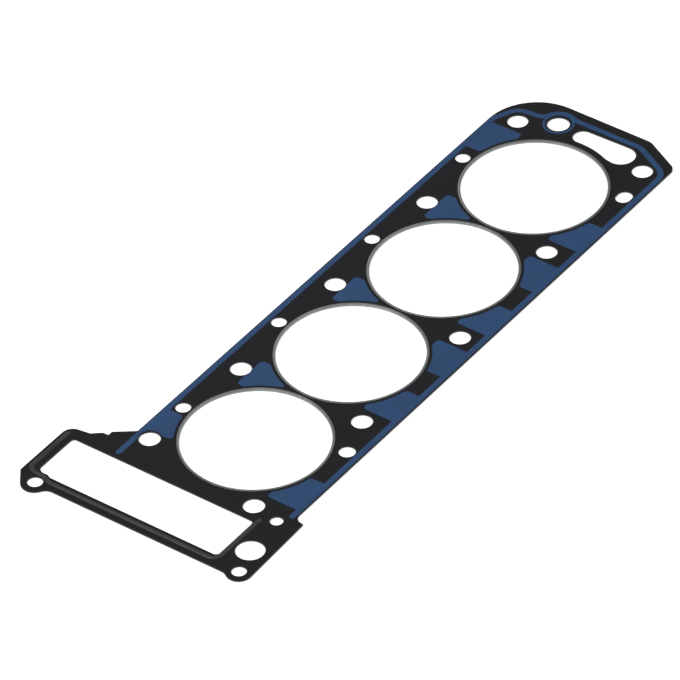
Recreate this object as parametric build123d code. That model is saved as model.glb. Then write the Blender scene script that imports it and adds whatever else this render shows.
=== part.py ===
from build123d import *
from math import acos, atan2, cos, hypot, radians, sin
import os

# Cylinder head gasket for a four-cylinder in-line engine.
# A thin steel core is pressed between two facings. Each bore is edged by a
# folded steel eyelet, a sealing print runs round both faces, and a rubber bead
# seals the timing chain chamber at the front.
#
# Layout axes, in millimetres: X runs along the row of bores from the chain
# chamber to the rear, Y runs across the engine, Z is up. The layout starts at
# the axis of the first bore. The finished part has its origin at the centre of
# its underside box, and z = 0 is the plane that the lower eyelet flanges rest on.

# Bores
bore_count = 4
bore_diameter = 97.0
bore_web = 5.0                # material between two neighbouring bores

# Sheet
core_thickness = 0.42
facing_thickness = 0.44

# Eyelets
eyelet_gauge = 0.2
eyelet_fit = 0.05             # clearance between an eyelet and the sheet's bore
eyelet_bend = 0.25            # outside radius of the fold
flange_gap = 1.6              # between two neighbouring flanges

# Deck edges, measured from the bores
upper_margin = 18.3
lower_margin = 17.2
rear_margin = 33.4
rear_arc_radius = 38.0
rear_chamfer_length = 14.9    # along X
rear_chamfer_height = 28.6    # along Y
rear_chamfer_top_radius = 9.0
rear_chamfer_foot_radius = 6.5

# Head bolt holes
bolt_hole_diameter = 14.2
upper_bolt_rise = 0.9         # above the top of the bores
upper_bolt_shift = -0.6       # from the middle of a web, along X
front_upper_bolt_rise = 7.5
front_upper_bolt_setback = 36.9
rear_upper_bolt_rise = 0.7
rear_upper_bolt_offset = 51.5
lower_bolt_shift = 0.6
lower_bolt_drop_outer = -3.1  # webs 1 and 3
lower_bolt_drop_middle = 0.4  # web 2
front_lower_bolt_drop = -11.5
front_lower_bolt_setback = 51.5
rear_lower_bolt_drop = 1.1
rear_lower_bolt_offset = 53.4

# Coolant and oil holes
coolant_hole_diameter = 10.4
coolant_hole_rise = 8.4       # above the top of the bores
coolant_hole_shift = -0.7
front_drain_diameter = 11.2
front_drain_offset = 22.7
drain_drop = 6.4
rear_drain_height = 10.6
rear_drain_length = 12.8
rear_drain_offset = 24.4
oil_feed_diameter = 15.4
oil_feed_offset = 63.9
oil_feed_y = 24.9
front_oil_diameter = 19.2
front_oil_offset = -86.3
front_oil_drop = 11.6
dowel_hole_diameter = 8.8
dowel_hole_offset = -55.1
dowel_hole_drop = 8.8

# Rear coolant slot, which follows the last bore
slot_clearance = 6.5          # from the last bore's edge
slot_top_radius = 7.1
slot_top_offset = 61.8
slot_top_y = 3.5
slot_lobe_radius = 10.1
slot_lobe_offset = 59.6
slot_lobe_y = -28.2

# Chain chamber frame at the front
window_setback = 14.8         # from the first bore's edge
window_width = 38.7
window_top_rise = 29.8        # above the deck's upper edge
window_foot_rise = 19.5       # above the deck's lower edge
window_foot_radius = 3.0
window_top_radius = 2.6
window_step_width = 1.4
window_step_top_radius = 5.0
window_step_height = 10.0
window_step_slope = 2.6
frame_side_width = 9.5
frame_top_width = 9.0
frame_corner_radius = 3.0
frame_corner_inset = 9.5
shoulder_width = 7.1          # right of the window at the top
shoulder_radius = 7.8
ear_hole_diameter = 10.3
ear_radius = 9.5
ear_setback = 8.1             # left of the window
ear_drop = 5.9                # below the top of the window
ear_root_radius = 7.0
foot_hole_diameter = 10.0
foot_radius = 8.8
foot_setback = 3.8            # left of the window
foot_drop = 19.8              # below the bottom of the window
foot_root_radius = 8.0
foot_length = 57.4            # from the foot hole to the step in the lower edge
foot_step_height = 7.2
foot_step_radius = 6.0

# Notched flank between the chain frame and the deck
flank_root_setback = 35.4
flank_root_radius = 1.5
notch_setback = 45.0          # of its outer corner, from the first bore's axis
notch_rise = 13.0             # above the deck's upper edge
notch_depth = 3.7
notch_height = 4.4
notch_lean = 0.3
flank_step_length = 5.0       # from the notch to the flank's upper corner
flank_step_height = 6.0
notch_radius = 0.8

# Sealing print
print_thickness = 0.08
print_line = 4.0
print_edge_margin = 0.5
print_bore_margin = 3.7
print_hole_margin = 0.6
print_corner = 2.6
front_print_setback = 58.4
front_lower_print_setback = 46.5

# Printed fields. Each spans two angles, in degrees, on the ring round its own bore,
# and its side stands a ledge's width past the point at the smaller angle.
front_patch_angles = (54.1, 81.7)
rear_patch_angles = (47.2, 78.2)
rear_patch_ledge = 5.7
left_patch_angles = (47.5, 78.4)
left_patch_ledge = 4.7
right_patch_angles = (47.5, 76.1)
right_patch_ledge = 6.7
wedge_angle = 44.2
wedge_side = 6.3              # from the ring to the wedge's top
wedge_tip_radius = 1.8

# Course of the printed line at the rear
rear_line_inset = 8.9         # from the rear edge
upper_turn_offset = 6.5       # from the rear bolt hole
bolt_line_radius = 11.1
bolt_line_start = 105         # degrees
bolt_line_sweep = -117
feed_line_start = 80
feed_line_sweep = -118
feed_ring_gap = 1.4
feed_ring_line = 1.7

# Rubber bead on the chain frame
bead_width = 3.2
bead_height = 0.8
bead_side_inset = 4.0         # from the window's left side
bead_top_inset = 5.6          # above the window
bead_foot_inset = 1.9         # below the window
bead_step_inset = 2.2         # from the window beside the ear hole
bead_bend_below = 7.5         # below the ear hole
bead_corner_radius = 6.0
bead_bend_radius = 8.0
bead_foot_end = 2.8           # past the window's right side
bead_top_end = 1.6

bore_radius = bore_diameter / 2
bore_pitch = bore_diameter + bore_web
bores = [i * bore_pitch for i in range(bore_count)]
webs = [x + bore_pitch / 2 for x in bores[:-1]]
last_bore = bores[-1]

sheet_thickness = core_thickness + 2 * facing_thickness
sheet_bore_radius = bore_radius + eyelet_gauge + eyelet_fit
flange_radius = bore_radius + (bore_web - flange_gap) / 2
sheet_bottom = eyelet_gauge
core_bottom = sheet_bottom + facing_thickness
core_top = core_bottom + core_thickness
sheet_top = core_top + facing_thickness

deck_top = bore_radius + upper_margin
deck_foot = -bore_radius - lower_margin
rear_edge = last_bore + bore_radius + rear_margin

window_right = -bore_radius - window_setback
window_left = window_right - window_width
window_top = deck_top + window_top_rise
window_foot = deck_foot + window_foot_rise
frame_left = window_left - frame_side_width
frame_top = window_top + frame_top_width
ear = (window_left - ear_setback, window_top - ear_drop)
foot = (window_left - foot_setback, window_foot - foot_drop)
foot_end = (foot[0] + foot_length, deck_foot - foot_step_height)
notch = (-notch_setback, deck_top + notch_rise)
notch_top = (notch[0] - notch_depth - notch_lean, notch[1] + notch_height)
oil_feed = (last_bore + oil_feed_offset, oil_feed_y)


def rounded(corners):
    """A face through the corners (x, y, radius)."""
    face = make_face(Polyline([(x, y) for x, y, _ in corners], close=True)).face()
    for x, y, radius in corners:
        if radius:
            face = round_corner(face, (x, y), radius)
    return face


def round_corner(face, point, radius):
    corner = face.vertices().sort_by_distance((*point, 0))[0]
    return face.fillet_2d(radius, [corner])


def tapered_bar(x1, y1, r1, x2, y2, r2):
    """Two discs and the straight flanks that are tangent to both."""
    heading = atan2(y2 - y1, x2 - x1)
    swing = acos((r1 - r2) / hypot(x2 - x1, y2 - y1))
    flank = [(x1 + r1 * cos(heading + swing), y1 + r1 * sin(heading + swing)),
             (x2 + r2 * cos(heading + swing), y2 + r2 * sin(heading + swing)),
             (x2 + r2 * cos(heading - swing), y2 + r2 * sin(heading - swing)),
             (x1 + r1 * cos(heading - swing), y1 + r1 * sin(heading - swing))]
    return (make_face(Polyline(flank, close=True)) + Pos(x1, y1) * Circle(r1)
            + Pos(x2, y2) * Circle(r2))


def discs(points, radius):
    return Sketch() + [Pos(x, y) * Circle(radius) for x, y in points]


# Hole centres
bolt_points = [(x + upper_bolt_shift, bore_radius + upper_bolt_rise) for x in webs]
bolt_points += [(-front_upper_bolt_setback, bore_radius + front_upper_bolt_rise),
                (last_bore + rear_upper_bolt_offset, bore_radius + rear_upper_bolt_rise)]
for i, x in enumerate(webs):
    drop = lower_bolt_drop_middle if i % 2 else lower_bolt_drop_outer
    bolt_points.append((x + lower_bolt_shift, -bore_radius - drop))
bolt_points += [(-front_lower_bolt_setback, -bore_radius - front_lower_bolt_drop),
                (last_bore + rear_lower_bolt_offset, -bore_radius - rear_lower_bolt_drop)]
coolant_points = [(x + coolant_hole_shift, bore_radius + coolant_hole_rise) for x in bores]

# Outline of the sheet: the deck, the chain frame and its two ears
deck = rounded([
    (window_right, deck_top, 0),
    (rear_edge, deck_top, rear_arc_radius),
    (rear_edge, deck_foot + rear_chamfer_height, rear_chamfer_top_radius),
    (rear_edge - rear_chamfer_length, deck_foot, rear_chamfer_foot_radius),
    (window_right, deck_foot, 0)])

corner_disc = (window_left - frame_corner_radius + frame_corner_inset - frame_side_width,
               frame_top - frame_corner_radius)
frame = rounded([
    (frame_left, foot[1], 0),
    foot + (0,),
    foot_end + (0,),
    (foot_end[0], deck_foot, 0),
    (-flank_root_setback, deck_foot, 0),
    (-flank_root_setback, deck_top, 0),
    notch + (notch_radius,),
    (notch[0] - notch_depth, notch[1], notch_radius),
    notch_top + (notch_radius,),
    (notch_top[0] - flank_step_length, notch_top[1] + flank_step_height, notch_radius),
    (window_right + shoulder_width, frame_top, shoulder_radius),
    (corner_disc[0], frame_top, 0),
    corner_disc + (0,),
    (frame_left, ear[1], 0)])
ear_plate = tapered_bar(*ear, ear_radius, *corner_disc, frame_corner_radius)
foot_plate = tapered_bar(*foot, foot_radius, *foot_end, 0.01)

outline = (deck + frame + ear_plate + foot_plate).face()
outline = round_corner(outline, (-flank_root_setback, deck_top), flank_root_radius)
outline = round_corner(outline, (foot_end[0], deck_foot), foot_step_radius)
outline = round_corner(outline, (frame_left, ear[1] - ear_radius), ear_root_radius)
outline = round_corner(outline, (frame_left, foot[1] + foot_radius), foot_root_radius)

# Openings through the sheet
window = rounded([
    (window_left, window_foot, window_foot_radius),
    (window_right, window_foot, window_foot_radius),
    (window_right, window_top, window_top_radius),
    (window_left + window_step_width, window_top, window_step_top_radius),
    (window_left + window_step_width, window_top - window_step_height + window_step_slope / 2,
     window_step_width),
    (window_left, window_top - window_step_height - window_step_slope / 2,
     window_step_width)])

slot_hull = tapered_bar(last_bore + slot_top_offset, slot_top_y, slot_top_radius,
                        last_bore + slot_lobe_offset, slot_lobe_y, slot_lobe_radius)
slot = slot_hull - Pos(last_bore, 0) * Circle(bore_radius + slot_clearance)

rear_drain = Pos(last_bore + rear_drain_offset, -bore_radius - drain_drop) * SlotOverall(
    rear_drain_length, rear_drain_height)
small_holes = (
    discs(bolt_points, bolt_hole_diameter / 2)
    + discs(coolant_points, coolant_hole_diameter / 2)
    + discs([(front_drain_offset, -bore_radius - drain_drop)], front_drain_diameter / 2)
    + discs([oil_feed], oil_feed_diameter / 2)
    + discs([(front_oil_offset, -bore_radius - front_oil_drop)], front_oil_diameter / 2)
    + discs([(dowel_hole_offset, -bore_radius - dowel_hole_drop)], dowel_hole_diameter / 2)
    + discs([ear], ear_hole_diameter / 2)
    + discs([foot], foot_hole_diameter / 2)
    + rear_drain)

sheet = outline - window - slot - small_holes - discs([(x, 0) for x in bores],
                                                      sheet_bore_radius)

# Layers of the sheet
lower_facing = Pos(0, 0, sheet_bottom) * extrude(sheet, facing_thickness)
core = Pos(0, 0, core_bottom) * extrude(sheet, core_thickness)
upper_facing = Pos(0, 0, core_top) * extrude(sheet, facing_thickness)

# Bore eyelet: a U-shaped fold that grips both faces of the sheet
eyelet_height = sheet_thickness + 2 * eyelet_gauge
fold = rounded([
    (bore_radius, 0, eyelet_bend),
    (flange_radius, 0, 0),
    (flange_radius, eyelet_gauge, 0),
    (bore_radius + eyelet_gauge, eyelet_gauge, 0),
    (bore_radius + eyelet_gauge, eyelet_height - eyelet_gauge, 0),
    (flange_radius, eyelet_height - eyelet_gauge, 0),
    (flange_radius, eyelet_height, 0),
    (bore_radius, eyelet_height, eyelet_bend)])
eyelet = revolve(Plane.XZ * fold, Axis.Z)


# Sealing print
def bar(start, end, width):
    """A straight printed line with round ends."""
    return tapered_bar(start.X, start.Y, width / 2, end.X, end.Y, width / 2)


def ring_point(x, side, level, angle):
    """A point on the ring that the fields keep round the bore at x."""
    return (x + side * print_radius * cos(radians(angle)),
            level * print_radius * sin(radians(angle)))


def field(start, end, tip_radius=0):
    """A printed field between two opposite corners, hollowed to clear the bores.

    Its corners are rounded, and the tip between two bores takes its own radius."""
    face = make_face(Polyline([start, (end[0], start[1]), end, (start[0], end[1])],
                              close=True))
    face = (face - discs([(x, 0) for x in bores], print_radius)).face()
    tip = face.vertices().sort_by(Axis.Y)[0]
    for corner in face.vertices():
        is_tip = tip_radius and corner.Y == tip.Y
        face = round_corner(face, (corner.X, corner.Y),
                            tip_radius if is_tip else print_corner)
    return face


def patch(x, side, level, angles, ledge, edge):
    """A field from the ring round the bore at x out to the printed line at y = edge."""
    near = ring_point(x, side, level, angles[0])
    far = ring_point(x, side, level, angles[1])
    foot = near[1] if ledge else 0
    return field((near[0] + side * ledge, foot), (far[0], edge))


def wedge(left_bore, right_bore):
    """The field that fills the wedge between two bores, under their bolt hole."""
    left = ring_point(left_bore, 1, 1, wedge_angle)
    right = ring_point(right_bore, -1, 1, wedge_angle)
    return field((left[0] + upper_bolt_shift, 0),
                 (right[0] + upper_bolt_shift, left[1] + wedge_side), wedge_tip_radius)


half_line = print_line / 2
print_radius = bore_radius + print_bore_margin
line_top = deck_top - print_edge_margin - half_line
line_foot = deck_foot + print_edge_margin + half_line
line_rear = rear_edge - rear_line_inset
rear_bolt = (last_bore + rear_upper_bolt_offset, bore_radius + rear_upper_bolt_rise)
feed_ring_radius = oil_feed_diameter / 2 + feed_ring_gap

bolt_arc = CenterArc(rear_bolt, bolt_line_radius, bolt_line_start, bolt_line_sweep)
feed_arc = CenterArc(oil_feed, feed_ring_radius + half_line, feed_line_start,
                     feed_line_sweep)
line_start = Vector(-front_print_setback, line_top)
upper_turn = Vector(rear_bolt[0] - upper_turn_offset, line_top)
line_end = Vector(-front_lower_print_setback, line_foot)

# The line runs parallel to the rear chamfer at the same inset as along the rear edge
chamfer_heading = Vector(rear_chamfer_length, rear_chamfer_height).normalized()
chamfer_line_start = (Vector(rear_edge - rear_chamfer_length, deck_foot)
                      + rear_line_inset * Vector(-chamfer_heading.Y, chamfer_heading.X))
rear_turn = chamfer_line_start + chamfer_heading * (
    (line_rear - chamfer_line_start.X) / chamfer_heading.X)
lower_turn = chamfer_line_start + chamfer_heading * (
    (line_foot - chamfer_line_start.Y) / chamfer_heading.Y)

seal_line = (
    bar(line_start, upper_turn, print_line)
    + bar(upper_turn, bolt_arc @ 0, print_line)
    + SlotArc(bolt_arc.edge(), print_line)
    + bar(bolt_arc @ 1, feed_arc @ 0, print_line)
    + SlotArc(feed_arc.edge(), print_line)
    + bar(feed_arc @ 1, rear_turn, print_line)
    + bar(rear_turn, lower_turn, print_line)
    + bar(lower_turn, line_end, print_line))
feed_ring = Pos(*oil_feed) * (Circle(feed_ring_radius + feed_ring_line)
                              - Circle(feed_ring_radius))

fields = [patch(bores[0], -1, 1, front_patch_angles, 0, line_top),
          patch(last_bore, 1, 1, rear_patch_angles, rear_patch_ledge, line_top)]
fields += [patch(x, -1, -1, left_patch_angles, left_patch_ledge, line_foot) for x in bores]
fields += [patch(x, 1, -1, right_patch_angles, right_patch_ledge, line_foot)
           for x in bores[1:-1]]
fields += [wedge(x, x + bore_pitch) for x in bores[:-1]]

hole_clear = (discs(bolt_points, bolt_hole_diameter / 2 + print_hole_margin)
              + discs(coolant_points, coolant_hole_diameter / 2 + print_hole_margin))
print_face = seal_line + feed_ring + fields - hole_clear
upper_print = Pos(0, 0, sheet_top) * extrude(print_face, print_thickness)
lower_print = Pos(0, 0, sheet_bottom - print_thickness) * extrude(print_face,
                                                                  print_thickness)

# Rubber bead: a domed strip round three sides of the chain chamber
bead_side = window_left - bead_side_inset
bead_neck = window_left + window_step_width - bead_step_inset
bead_route = FilletPolyline(
    (window_right + bead_foot_end, window_foot - bead_foot_inset),
    (bead_side, window_foot - bead_foot_inset),
    (bead_side, ear[1] - bead_bend_below),
    (bead_neck, ear[1]),
    (bead_neck, window_top + bead_top_inset),
    (window_right + bead_top_end, window_top + bead_top_inset),
    radius=[bead_corner_radius, bead_bend_radius, bead_bend_radius, bead_corner_radius])
dome = make_face(ThreePointArc((-bead_width / 2, 0), (0, bead_height), (bead_width / 2, 0))
                 + Line((-bead_width / 2, 0), (bead_width / 2, 0)))
half_dome = dome & Pos(bead_width / 2, 0) * Rectangle(bead_width, 4 * bead_height)
bead_section = Plane(bead_route @ 0, x_dir=(0, -1, 0), z_dir=(-1, 0, 0)) * dome
bead = sweep(bead_section, bead_route)
for end in (bead_route @ 0, bead_route @ 1):
    cap = revolve(Plane(end, x_dir=(0, -1, 0), z_dir=(-1, 0, 0)) * half_dome,
                  Axis(end, (0, 0, 1)), 180)
    bead += cap
bead = Pos(0, 0, sheet_top) * bead

# The origin moves to the centre of the underside box
box = sheet.bounding_box()
to_origin = Pos(-box.center().X, -box.center().Y)

nodes = {
    "lower_facing": lower_facing,
    "core_plate": core,
    "upper_facing": upper_facing,
    "upper_seal_print": upper_print,
    "lower_seal_print": lower_print,
    "chain_frame_bead": bead,
}
for number, x in enumerate(bores, 1):
    nodes[f"bore_eyelet_{number}"] = Pos(x, 0) * eyelet

os.makedirs("parts", exist_ok=True)
for name, piece in nodes.items():
    export_step(to_origin * piece, f"parts/{name}.step")
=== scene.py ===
from math import acos, cos, degrees, pi, radians, sin, tan

import bpy
from mathutils import Matrix, Vector


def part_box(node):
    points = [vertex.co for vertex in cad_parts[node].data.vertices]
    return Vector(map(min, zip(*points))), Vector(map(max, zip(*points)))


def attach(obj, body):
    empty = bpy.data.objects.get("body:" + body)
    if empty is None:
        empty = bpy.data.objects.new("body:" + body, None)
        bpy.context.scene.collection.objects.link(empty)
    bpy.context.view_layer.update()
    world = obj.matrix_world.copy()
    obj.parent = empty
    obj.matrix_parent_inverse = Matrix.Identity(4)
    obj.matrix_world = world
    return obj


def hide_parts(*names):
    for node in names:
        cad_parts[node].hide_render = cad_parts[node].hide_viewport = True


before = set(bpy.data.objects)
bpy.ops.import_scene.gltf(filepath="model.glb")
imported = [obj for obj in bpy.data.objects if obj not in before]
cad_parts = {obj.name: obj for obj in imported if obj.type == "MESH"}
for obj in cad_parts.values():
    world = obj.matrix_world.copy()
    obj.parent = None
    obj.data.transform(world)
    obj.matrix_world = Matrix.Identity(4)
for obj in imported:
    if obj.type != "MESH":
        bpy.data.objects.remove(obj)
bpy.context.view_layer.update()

# Cylinder head gasket, lying flat. The sheet's layers are the frame's own pieces in new
# finishes. The four bore eyelets and the rubber bead are modelled here, and so is the
# course of the sealing print round the rear end.

MM = 0.001

# Meshing, in metres and degrees
merge_distance = 0.002 * MM       # nearer points are one point
cut_tolerance = 0.001 * MM        # a cut keeps only the points that lie on its plane
slack = 0.001 * MM                # of a test on one side of a plane
sliver_length = 0.005 * MM        # shorter edges are left by a union and go
in_line_angle = radians(1)        # points that turn by less go
arc_step = 6                      # for the bends of the swept strips
fewest_arc_steps = 3

# Bore eyelets, in metres
eyelet_count = 4
bore_radius = 48.5 * MM
eyelet_gauge = 0.2 * MM
fold_radius = 0.24 * MM
inner_fold_radius = 0.05 * MM
lip_radius = 0.06 * MM
fold_segments = 6
inner_fold_segments = 2
lip_segments = 3
eyelet_steps = 240

# Rubber bead, in metres
bead_width = 3.2 * MM
bead_top_setback = 1.2 * MM       # its upper end stops this much short of its lower end
bead_neck_shift = 3.2 * MM        # the jog beside the ear hole
bead_neck_drop = 11.5 * MM        # from the top run to the upper corner of the jog
bead_bend_drop = 19.0 * MM        # from the top run to the lower corner of the jog
bead_corner_radius = 6.0 * MM
bead_bend_radius = 8.0 * MM
bead_profile_steps = 12
bead_cap_steps = 10
bead_smooth_angle = radians(60)

# Printed line round the rear end, in metres
line_width = 4.0 * MM
line_top_y = 48.9 * MM
line_foot_y = -78.6 * MM
line_rear_x = 244.85 * MM
line_cut_x = 214.85 * MM          # forward of this the print is the frame's own
rear_bolt = Vector((223.35 * MM, 33.8 * MM))
oil_feed = Vector((235.75 * MM, 9.5 * MM))
round_hole_radius = 11.1 * MM     # of the line where it follows the two holes
bolt_angles = (radians(65), radians(6))
feed_angles = (radians(60), radians(-20))
chamfer_top_y = -50.3 * MM
chamfer_foot_x = 230.12 * MM
top_bend_radius = 8.0 * MM
neck_bend_radius = 6.0 * MM
feed_exit_radius = 8.0 * MM
chamfer_top_radius = 15.0 * MM
chamfer_foot_radius = 12.0 * MM
feed_ring_width = 1.7 * MM
feed_ring_steps = 90

# Camera, fitted to the centres of the round holes
camera_focal = 378.79             # for a sensor of 36 mm
camera_distance = 4.587
camera_azimuth = radians(-52.21)
camera_elevation = radians(39.86)
camera_roll = radians(2.50)
camera_target = Vector((-0.02431, -0.00092, 0))


# Edit-mode helpers
def start(name):
    """Names the new primitive and opens it for editing."""
    piece = bpy.context.active_object
    piece.name = name
    piece.data.name = name
    bpy.ops.object.transform_apply(location=True, rotation=True, scale=True)
    bpy.ops.object.mode_set(mode="EDIT")
    return piece


def pick(piece, kind, test):
    """Selects the vertices or edges whose points all pass the test."""
    bpy.ops.mesh.select_mode(type=kind)
    bpy.ops.mesh.select_all(action="DESELECT")
    bpy.ops.object.mode_set(mode="OBJECT")
    mesh = piece.data
    for item in mesh.vertices if kind == "VERT" else mesh.edges:
        indices = [item.index] if kind == "VERT" else item.vertices
        item.select = all(test(mesh.vertices[i].co) for i in indices)
    bpy.ops.object.mode_set(mode="EDIT")


def near(a, b):
    return abs(a - b) < merge_distance


def close_up():
    """Merges the doubled points, turns the faces outwards and leaves edit mode."""
    bpy.ops.mesh.select_mode(type="VERT")
    bpy.ops.mesh.select_all(action="SELECT")
    bpy.ops.mesh.remove_doubles(threshold=merge_distance)
    bpy.ops.mesh.normals_make_consistent(inside=False)
    bpy.ops.object.mode_set(mode="OBJECT")


def finish_piece(piece, smooth_angle=radians(35)):
    """Closes seams, turns the faces outwards, smooths them and hangs the piece from the root body.
    """
    close_up()
    bpy.ops.object.shade_smooth_by_angle(angle=smooth_angle)
    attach(piece, "root")


def deselect():
    bpy.ops.object.select_all(action="DESELECT")


# Bore eyelets
def eyelet(number):
    """A U-shaped fold of thin steel, spun round its bore."""
    node = f"bore_eyelet_{number}"
    low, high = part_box(node)
    middle = (low + high) / 2
    flange_radius = (high.x - low.x) / 2
    wall = middle.x + bore_radius
    inner_wall = wall + eyelet_gauge
    rim = middle.x + flange_radius
    lower_inside, upper_inside = low.z + eyelet_gauge, high.z - eyelet_gauge

    # The upright of the U, standing in the plane through the bore's axis
    deselect()
    bpy.ops.mesh.primitive_plane_add(
        size=1, location=(wall + eyelet_gauge / 2, middle.y, middle.z),
        rotation=(pi / 2, 0, 0))
    bpy.context.active_object.scale = (eyelet_gauge, high.z - low.z, 1)
    piece = start(f"bore_ring_{number}")
    for level in (lower_inside, upper_inside):
        bpy.ops.mesh.select_all(action="SELECT")
        bpy.ops.mesh.bisect(plane_co=(0, 0, level), plane_no=(0, 0, 1),
                            threshold=cut_tolerance)

    # The two flanges are drawn out from its ends
    flange = rim - inner_wall
    pick(piece, "EDGE", lambda co: near(co.x, inner_wall) and co.z > upper_inside - slack)
    bpy.ops.mesh.extrude_region_move(TRANSFORM_OT_translate={"value": (flange, 0, 0)})
    pick(piece, "EDGE", lambda co: near(co.x, inner_wall) and co.z < lower_inside + slack)
    bpy.ops.mesh.extrude_region_move(TRANSFORM_OT_translate={"value": (flange, 0, 0)})

    # Its section keeps only the corners of its outline, rounded at the folds and the lips
    bpy.ops.mesh.select_mode(type="VERT")
    bpy.ops.mesh.select_all(action="SELECT")
    bpy.ops.mesh.remove_doubles(threshold=merge_distance)
    bpy.ops.mesh.select_all(action="SELECT")
    bpy.ops.mesh.dissolve_limited(angle_limit=in_line_angle)
    bpy.ops.mesh.select_all(action="SELECT")
    bpy.ops.mesh.delete(type="ONLY_FACE")
    for test, radius, segments in (
            (lambda co: near(co.x, wall), fold_radius, fold_segments),
            (lambda co: near(co.x, inner_wall), inner_fold_radius, inner_fold_segments),
            (lambda co: near(co.x, rim), lip_radius, lip_segments)):
        pick(piece, "VERT", test)
        bpy.ops.mesh.bevel(affect="VERTICES", offset=radius, segments=segments,
                           offset_type="OFFSET")
    bpy.ops.mesh.select_mode(type="VERT")
    bpy.ops.mesh.select_all(action="SELECT")
    bpy.ops.mesh.spin(steps=eyelet_steps, angle=2 * pi, center=middle, axis=(0, 0, 1))
    finish_piece(piece)
    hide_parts(node)
    dress(piece, ring_steel(f"ring_steel_{number}", middle))


# Swept strips
def stretches(corners, radii):
    """The straight runs and arcs along the corners, as ("run", move) and ("arc", centre, turn)."""
    here = corners[0]
    steps = []
    for last, corner, following, radius in zip(corners, corners[1:], corners[2:], radii):
        before = (corner - last).normalized()
        after = (following - corner).normalized()
        turn = before.angle_signed(after)          # clockwise is positive
        cut = radius * tan(abs(turn) / 2)
        steps.append(("run", corner - before * cut - here))
        side = Vector((before.y, -before.x)) * (1 if turn > 0 else -1)
        steps.append(("arc", corner - before * cut + side * radius, turn))
        here = corner + after * cut
    steps.append(("run", corners[-1] - here))
    return steps


def sweep(corners, radii):
    """Draws the selected edges along the corners."""
    for kind, where, *turn in stretches(corners, radii):
        if kind == "run":
            bpy.ops.mesh.extrude_region_move(
                TRANSFORM_OT_translate={"value": (where.x, where.y, 0)})
        else:
            steps = max(fewest_arc_steps, round(abs(degrees(turn[0])) / arc_step))
            bpy.ops.mesh.spin(steps=steps, angle=turn[0], center=(where.x, where.y, 0),
                              axis=(0, 0, 1))


# Rubber bead
def bead():
    """A domed strip along three sides of the chain window, with round ends."""
    low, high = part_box("chain_frame_bead")
    height = high.z - low.z
    half = bead_width / 2
    side_x = low.x + half
    foot_y = low.y + half
    top_y = high.y - half
    foot_end = Vector((high.x - half, foot_y))
    corners = [
        foot_end,
        Vector((side_x, foot_y)),
        Vector((side_x, top_y - bead_bend_drop)),
        Vector((side_x + bead_neck_shift, top_y - bead_neck_drop)),
        Vector((side_x + bead_neck_shift, top_y)),
        Vector((foot_end.x - bead_top_setback, top_y))]

    # The section is a flat-bottomed piece of a circle that stands across the first run
    dome_radius = (half ** 2 + height ** 2) / (2 * height)
    reach = pi / acos((dome_radius - height) / dome_radius)
    deselect()
    bpy.ops.mesh.primitive_circle_add(
        vertices=round(bead_profile_steps * reach / 2) * 2, radius=dome_radius,
        fill_type="NGON", location=(foot_end.x, foot_end.y, high.z - dome_radius),
        rotation=(pi / 2, 0, pi / 2))
    piece = start("chamber_bead")
    bpy.ops.mesh.select_all(action="SELECT")
    bpy.ops.mesh.bisect(plane_co=(0, 0, low.z), plane_no=(0, 0, -1), clear_outer=True,
                        use_fill=True, threshold=cut_tolerance)
    bpy.ops.mesh.select_all(action="SELECT")
    bpy.ops.mesh.bisect(plane_co=(0, foot_y, 0), plane_no=(0, 1, 0),
                        threshold=cut_tolerance)
    bpy.ops.mesh.select_all(action="SELECT")
    bpy.ops.mesh.dissolve_faces()
    bpy.ops.mesh.select_all(action="SELECT")
    bpy.ops.mesh.delete(type="ONLY_FACE")

    # Each end cap is half of the section, turned about the upright axis
    def cap(centre, test):
        pick(piece, "EDGE", test)
        bpy.ops.mesh.spin(steps=bead_cap_steps, angle=pi,
                          center=(centre.x, centre.y, low.z), axis=(0, 0, 1))

    cap(foot_end, lambda co: co.y > foot_y - slack)
    pick(piece, "EDGE", lambda co: near(co.x, foot_end.x))
    sweep(corners, [bead_corner_radius, bead_bend_radius, bead_bend_radius,
                    bead_corner_radius])
    last = corners[-1]
    cap(last, lambda co: near(co.x, last.x) and co.y > last.y - slack)
    finish_piece(piece, bead_smooth_angle)
    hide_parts("chain_frame_bead")
    dress(piece, bead_rubber())


# Sealing print
def heading(angle):
    """The way that a clockwise arc goes at an angle round its centre."""
    return Vector((sin(angle), -cos(angle)))


def round_point(centre, angle):
    return centre + round_hole_radius * Vector((cos(angle), sin(angle)))


def round_corner(centre, angles):
    """Where the two straight runs meet that an arc round a hole joins."""
    half_turn = (angles[0] - angles[1]) / 2
    middle = (angles[0] + angles[1]) / 2
    return centre + round_hole_radius / cos(half_turn) * Vector((cos(middle), sin(middle)))


def crossing(first, first_way, second, second_way):
    """The point where two straight runs cross."""
    apart = second - first
    along = (apart.x * second_way.y - apart.y * second_way.x) / (
        first_way.x * second_way.y - first_way.y * second_way.x)
    return first + first_way * along


def upright_section(name, middle, width, thickness, turn):
    """The four edges of a thin rectangle that stands on the sheet."""
    deselect()
    bpy.ops.mesh.primitive_plane_add(size=1, location=middle, rotation=(pi / 2, 0, turn))
    bpy.context.active_object.scale = (width, thickness, 1)
    piece = start(name)
    bpy.ops.mesh.select_all(action="SELECT")
    bpy.ops.mesh.delete(type="ONLY_FACE")
    bpy.ops.mesh.select_all(action="SELECT")
    return piece


def weld_to(piece, other):
    """Makes one piece of two whose open ends meet point for point."""
    deselect()
    other.select_set(True)
    piece.select_set(True)
    bpy.context.view_layer.objects.active = piece
    bpy.ops.object.join()
    bpy.ops.object.mode_set(mode="EDIT")
    close_up()


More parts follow.
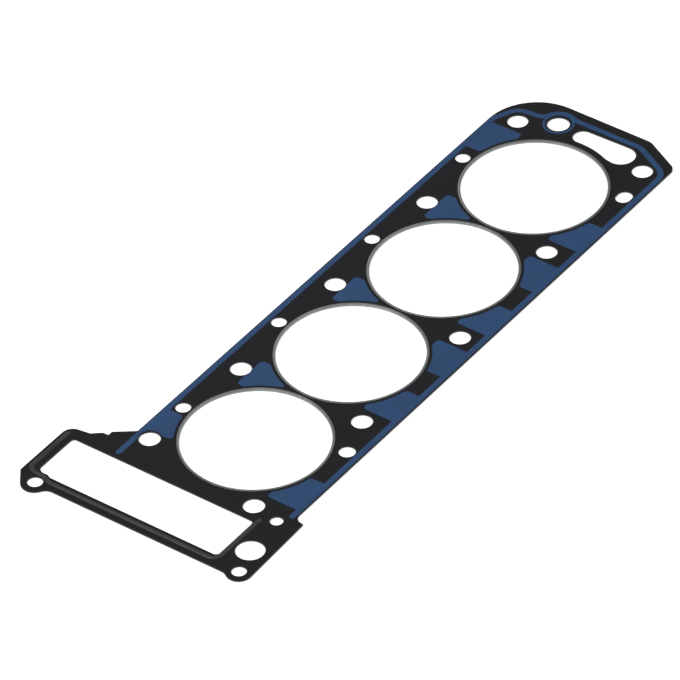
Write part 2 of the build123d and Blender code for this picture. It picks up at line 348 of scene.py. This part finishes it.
def join_to(piece, other):
    """Makes one closed piece of two that overlap."""
    bpy.context.view_layer.objects.active = piece
    union = piece.modifiers.new("union", "BOOLEAN")
    union.operation = "UNION"
    union.solver = "EXACT"
    union.object = other
    bpy.ops.object.modifier_apply(modifier=union.name)
    bpy.data.objects.remove(other)


def rear_line(level, thickness):
    """The line over the bolt hole, round the oil feed and down along the rear edge.

    Both ends stay open, to be welded to the frame's own line."""
    east, south = Vector((1, 0)), Vector((0, -1))
    corners = [
        Vector((line_cut_x, line_top_y)),
        crossing(Vector((line_cut_x, line_top_y)), east,
                 round_point(rear_bolt, bolt_angles[0]), heading(bolt_angles[0])),
        round_corner(rear_bolt, bolt_angles),
        crossing(round_point(rear_bolt, bolt_angles[1]), heading(bolt_angles[1]),
                 round_point(oil_feed, feed_angles[0]), heading(feed_angles[0])),
        round_corner(oil_feed, feed_angles),
        crossing(round_point(oil_feed, feed_angles[1]), heading(feed_angles[1]),
                 Vector((line_rear_x, oil_feed.y)), south),
        Vector((line_rear_x, chamfer_top_y)),
        Vector((chamfer_foot_x, line_foot_y)),
        Vector((line_cut_x, line_foot_y))]
    piece = upright_section("rear_line", (*corners[0], level + thickness / 2), line_width,
                            thickness, pi / 2)
    sweep(corners, [top_bend_radius, round_hole_radius, neck_bend_radius, round_hole_radius,
                    feed_exit_radius, chamfer_top_radius, chamfer_foot_radius])
    close_up()
    return piece


def feed_ring(level, thickness):
    """The thin ring round the oil feed hole."""
    middle = oil_feed.x + round_hole_radius - line_width / 2 + feed_ring_width / 2
    piece = upright_section("feed_ring", (middle, oil_feed.y, level + thickness / 2),
                            feed_ring_width, thickness, 0)
    bpy.ops.mesh.spin(steps=feed_ring_steps, angle=2 * pi,
                      center=(oil_feed.x, oil_feed.y, 0), axis=(0, 0, 1))
    close_up()
    return piece


def seal_print(side, ink):
    """The print of one face: the frame's own as far as the rear bolt hole, then a new line."""
    node = f"{side}_seal_print"
    low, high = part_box(node)
    thickness = high.z - low.z
    deselect()
    bpy.ops.mesh.primitive_plane_add()
    piece = bpy.context.active_object
    piece.name = f"{side}_print"
    piece.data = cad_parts[node].data.copy()
    piece.data.name = piece.name
    bpy.ops.object.mode_set(mode="EDIT")
    bpy.ops.mesh.select_all(action="SELECT")
    bpy.ops.mesh.remove_doubles(threshold=merge_distance)
    bpy.ops.mesh.bisect(plane_co=(line_cut_x, 0, 0), plane_no=(1, 0, 0), clear_outer=True,
                        threshold=cut_tolerance)

    # Each cut end keeps only its four corners
    sides = [middle + way * line_width / 2 for middle in (line_top_y, line_foot_y)
             for way in (-1, 1)]

    def between_corners(co):
        at_corner = (any(near(co.y, side_y) for side_y in sides)
                     and (near(co.z, low.z) or near(co.z, high.z)))
        return near(co.x, line_cut_x) and not at_corner

    pick(piece, "VERT", between_corners)
    bpy.ops.mesh.dissolve_verts()
    bpy.ops.object.mode_set(mode="OBJECT")
    weld_to(piece, rear_line(low.z, thickness))
    join_to(piece, feed_ring(low.z, thickness))
    bpy.ops.object.mode_set(mode="EDIT")
    bpy.ops.mesh.select_all(action="SELECT")
    bpy.ops.mesh.dissolve_degenerate(threshold=sliver_length)
    finish_piece(piece)
    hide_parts(node)
    dress(piece, ink)


# Material helpers
def new_material(name):
    """An empty principled material with its shader and its object coordinates."""
    made = bpy.data.materials.new(name)
    made.use_nodes = True
    tree = made.node_tree
    shader = tree.nodes["Principled BSDF"]
    coordinates = tree.nodes.new("ShaderNodeTexCoord").outputs["Object"]
    return made, tree, shader, coordinates


def add(tree, kind, settings=None, **links):
    """Adds a node, sets its properties, and fills its inputs with values or other outputs."""
    made = tree.nodes.new(kind)
    for name, value in (settings or {}).items():
        setattr(made, name, value)
    for name, value in links.items():
        socket = made.inputs[int(name[1:])] if name[0] == "_" else made.inputs[name]
        if isinstance(value, bpy.types.NodeSocket):
            tree.links.new(value, socket)
        else:
            socket.default_value = value
    return made


def noise(tree, where, scale, detail=4, roughness=0.6):
    """A noise pattern with values about 0.5."""
    made = add(tree, "ShaderNodeTexNoise", Vector=where, Scale=scale, Detail=detail,
               Roughness=roughness)
    return made.outputs["Fac"]


def spread(tree, value, low, high, source_low=0.3, source_high=0.7):
    """Maps a pattern's usual range onto low to high."""
    made = add(tree, "ShaderNodeMapRange", _0=value, _1=source_low, _2=source_high, _3=low,
               _4=high)
    return made.outputs[0]


def tint(tree, amount, dark, light):
    """Mixes two colours by an amount."""
    made = add(tree, "ShaderNodeMix", {"data_type": "RGBA"}, _0=amount, _6=dark + (1,),
               _7=light + (1,))
    return made.outputs[2]


def total(tree, first, second, operation="ADD"):
    made = add(tree, "ShaderNodeMath", {"operation": operation}, _0=first, _1=second)
    return made.outputs[0]


def relief(tree, shader, height, distance, strength=1.0):
    """Bump of a real height in metres."""
    made = add(tree, "ShaderNodeBump", Strength=strength, Distance=distance, Height=height)
    tree.links.new(made.outputs["Normal"], shader.inputs["Normal"])


def dress(piece, material):
    """Puts one material in the piece's only slot."""
    if not piece.material_slots:
        piece.data.materials.append(material)
    for slot in piece.material_slots:
        slot.material = material


# Tones of the finishes, each as a dark and a light one
facing_tones = ((0.0040, 0.0041, 0.0054), (0.0068, 0.0070, 0.0090))
print_tones = ((0.0135, 0.0435, 0.112), (0.0185, 0.0575, 0.146))
rubber_tones = ((0.0105, 0.0108, 0.0130), (0.0215, 0.022, 0.0260))
ring_tones = ((0.180, 0.188, 0.185), (0.300, 0.313, 0.308))
core_tones = ((0.035, 0.035, 0.038), (0.075, 0.075, 0.080))
floor_tones = ((0.80, 0.80, 0.80), (0.82, 0.82, 0.82))

# Marks on the rings: how often they change along the turn and along the radius
ring_marks_along = 0.12
ring_marks_across = 12
core_marks_across = 40            # the core's marks lie flat, in its plane


# Finishes
def facing_coat():
    """Black fibre composite under a thin non-stick coat: a fine pebble, cloudy and satin."""
    made, tree, shader, where = new_material("facing_coat")
    pebble = noise(tree, where, scale=1500, detail=3, roughness=0.65)
    cloud = noise(tree, where, scale=22, detail=3)
    shade = total(tree, spread(tree, pebble, 0.0, 0.45), spread(tree, cloud, 0.0, 0.55))
    tree.links.new(tint(tree, shade, *facing_tones),
                   shader.inputs["Base Color"])
    tree.links.new(spread(tree, cloud, low=0.44, high=0.56), shader.inputs["Roughness"])
    shader.inputs["Specular IOR Level"].default_value = 0.17
    relief(tree, shader, pebble, distance=0.03 * MM)
    return made


def seal_ink():
    """Blue silicone print with the faint weave that the screen leaves."""
    made, tree, shader, where = new_material("seal_ink")
    weave = [add(tree, "ShaderNodeTexWave", {"wave_profile": "SIN", "bands_direction": axis},
                 Vector=where, Scale=420, Distortion=0.6, Detail=1).outputs["Fac"]
             for axis in ("X", "Y")]
    mesh = total(tree, weave[0], weave[1], "MULTIPLY")
    cloud = noise(tree, where, scale=35)
    fleck = noise(tree, where, scale=900, detail=2)
    shade = total(tree, spread(tree, cloud, 0.0, 0.7), spread(tree, fleck, 0.0, 0.3))
    tree.links.new(tint(tree, shade, *print_tones),
                   shader.inputs["Base Color"])
    tree.links.new(spread(tree, cloud, low=0.36, high=0.48), shader.inputs["Roughness"])
    shader.inputs["Specular IOR Level"].default_value = 0.20
    relief(tree, shader, total(tree, mesh, fleck), distance=0.008 * MM)
    return made


def bead_rubber():
    """Moulded rubber: dark grey, satin, with a fine tooth."""
    made, tree, shader, where = new_material("bead_rubber")
    tooth = noise(tree, where, scale=1100, detail=3)
    cloud = noise(tree, where, scale=75, detail=3)
    tree.links.new(tint(tree, spread(tree, cloud, low=0.0, high=1.0), *rubber_tones),
                   shader.inputs["Base Color"])
    tree.links.new(spread(tree, tooth, low=0.42, high=0.54), shader.inputs["Roughness"])
    shader.inputs["Specular IOR Level"].default_value = 0.40
    relief(tree, shader, tooth, distance=0.015 * MM)
    return made


def ring_steel(name, centre):
    """Dull folded steel with fine marks that run round the bore."""
    made, tree, shader, where = new_material(name)
    centred = add(tree, "ShaderNodeMapping", Vector=where, Location=-centre).outputs[0]
    apart = add(tree, "ShaderNodeSeparateXYZ", _0=centred).outputs
    radius = add(tree, "ShaderNodeVectorMath", {"operation": "LENGTH"},
                 _0=add(tree, "ShaderNodeCombineXYZ", X=apart[0], Y=apart[1]).outputs[0])
    turn = total(tree, apart[1], apart[0], "ARCTAN2")
    along = total(tree, turn, ring_marks_along, "MULTIPLY")
    across = total(tree, radius.outputs["Value"], ring_marks_across, "MULTIPLY")
    grain_at = add(tree, "ShaderNodeCombineXYZ", X=along, Y=across, Z=apart[2])
    grain = noise(tree, grain_at.outputs[0], scale=240, detail=3)
    cloud = noise(tree, where, scale=90, detail=3)
    shade = total(tree, spread(tree, grain, 0.0, 0.6), spread(tree, cloud, 0.0, 0.4))
    tree.links.new(tint(tree, shade, *ring_tones),
                   shader.inputs["Base Color"])
    tree.links.new(spread(tree, grain, low=0.31, high=0.40), shader.inputs["Roughness"])
    shader.inputs["Metallic"].default_value = 1.0
    relief(tree, shader, grain, distance=0.006 * MM)
    return made


def core_sheet():
    """Cold-rolled steel, seen only as a thin line round the cut edges."""
    made, tree, shader, where = new_material("core_sheet")
    drawn = add(tree, "ShaderNodeMapping", Vector=where, Scale=(1, 1, core_marks_across)).outputs[0]
    grain = noise(tree, drawn, scale=900, detail=3)
    tree.links.new(tint(tree, spread(tree, grain, low=0.0, high=1.0), *core_tones),
                   shader.inputs["Base Color"])
    tree.links.new(spread(tree, grain, low=0.34, high=0.5), shader.inputs["Roughness"])
    shader.inputs["Metallic"].default_value = 1.0
    relief(tree, shader, grain, distance=0.006 * MM)
    return made


# Floor, light and camera
floor_size = 60.0
floor_drop = 0.05 * MM            # under the gasket, so that no two faces share a plane
floor_glow = 0.38
world_color = (0.97, 0.98, 1.0, 1)
world_strength = 0.46

# Lamps: azimuth and elevation in degrees, distance and size in metres, power in watts
lamps = {
    "key_light": (-120, 62, 2.6, 1.6, 42),
    "fill_light": (40, 50, 3.0, 2.2, 20),
    "glint_light": (134, 36, 1.2, 0.25, 0.28)}


def floor():
    """A pale floor that keeps the gasket's shadow and looks white to the camera."""
    deselect()
    bpy.ops.mesh.primitive_plane_add(size=floor_size, location=(0, 0, -floor_drop))
    piece = bpy.context.active_object
    piece.name = "floor"
    made, tree, shader, where = new_material("floor_paper")
    shade = spread(tree, noise(tree, where, scale=3), low=0.0, high=1.0)
    tree.links.new(tint(tree, shade, *floor_tones),
                   shader.inputs["Base Color"])
    shader.inputs["Roughness"].default_value = 0.95
    shader.inputs["Specular IOR Level"].default_value = 0.0
    path = add(tree, "ShaderNodeLightPath").outputs
    seen = total(tree, path["Is Camera Ray"], path["Is Glossy Ray"], "MAXIMUM")
    seen = total(tree, seen, path["Is Transmission Ray"], "MAXIMUM")
    shader.inputs["Emission Color"].default_value = (1, 1, 1, 1)
    tree.links.new(total(tree, seen, floor_glow, "MULTIPLY"), shader.inputs["Emission Strength"])
    dress(piece, made)


def softbox(name, azimuth, elevation, distance, size, power):
    """A square area light that looks at the middle of the gasket and isn't seen itself."""
    a, e = radians(azimuth), radians(elevation)
    away = Vector((sin(a) * cos(e), -cos(a) * cos(e), sin(e)))
    bpy.ops.object.light_add(type="AREA", location=away * distance,
                             rotation=away.to_track_quat("Z", "Y").to_euler())
    lamp = bpy.context.active_object
    lamp.name = name
    lamp.data.shape = "SQUARE"
    lamp.data.size = size
    lamp.data.energy = power
    lamp.visible_camera = False


def light():
    for name, setting in lamps.items():
        softbox(name, *setting)
    world = bpy.context.scene.world or bpy.data.worlds.new("studio")
    bpy.context.scene.world = world
    world.use_nodes = True
    background = world.node_tree.nodes["Background"]
    background.inputs["Color"].default_value = world_color
    background.inputs["Strength"].default_value = world_strength


def camera():
    """The photo's long lens, aimed with its small roll."""
    turned = (Matrix.Rotation(camera_azimuth, 3, "Z")
              @ Matrix.Rotation(pi / 2 - camera_elevation, 3, "X")
              @ Matrix.Rotation(-camera_roll, 3, "Z"))
    away = Vector((sin(camera_azimuth) * cos(camera_elevation),
                   -cos(camera_azimuth) * cos(camera_elevation), sin(camera_elevation)))
    bpy.ops.object.camera_add(location=camera_target + away * camera_distance,
                              rotation=turned.to_euler())
    made = bpy.context.active_object
    made.name = "camera"
    made.data.lens = camera_focal
    bpy.context.scene.camera = made


# Build
coat = facing_coat()
ink = seal_ink()
for name, material in (("lower_facing", coat), ("upper_facing", coat),
                       ("core_plate", core_sheet())):
    dress(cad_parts[name], material)
for side in ("lower", "upper"):
    seal_print(side, ink)
for number in range(1, eyelet_count + 1):
    eyelet(number)
bead()

floor()
light()
camera()
bpy.context.scene.view_settings.view_transform = "Standard"
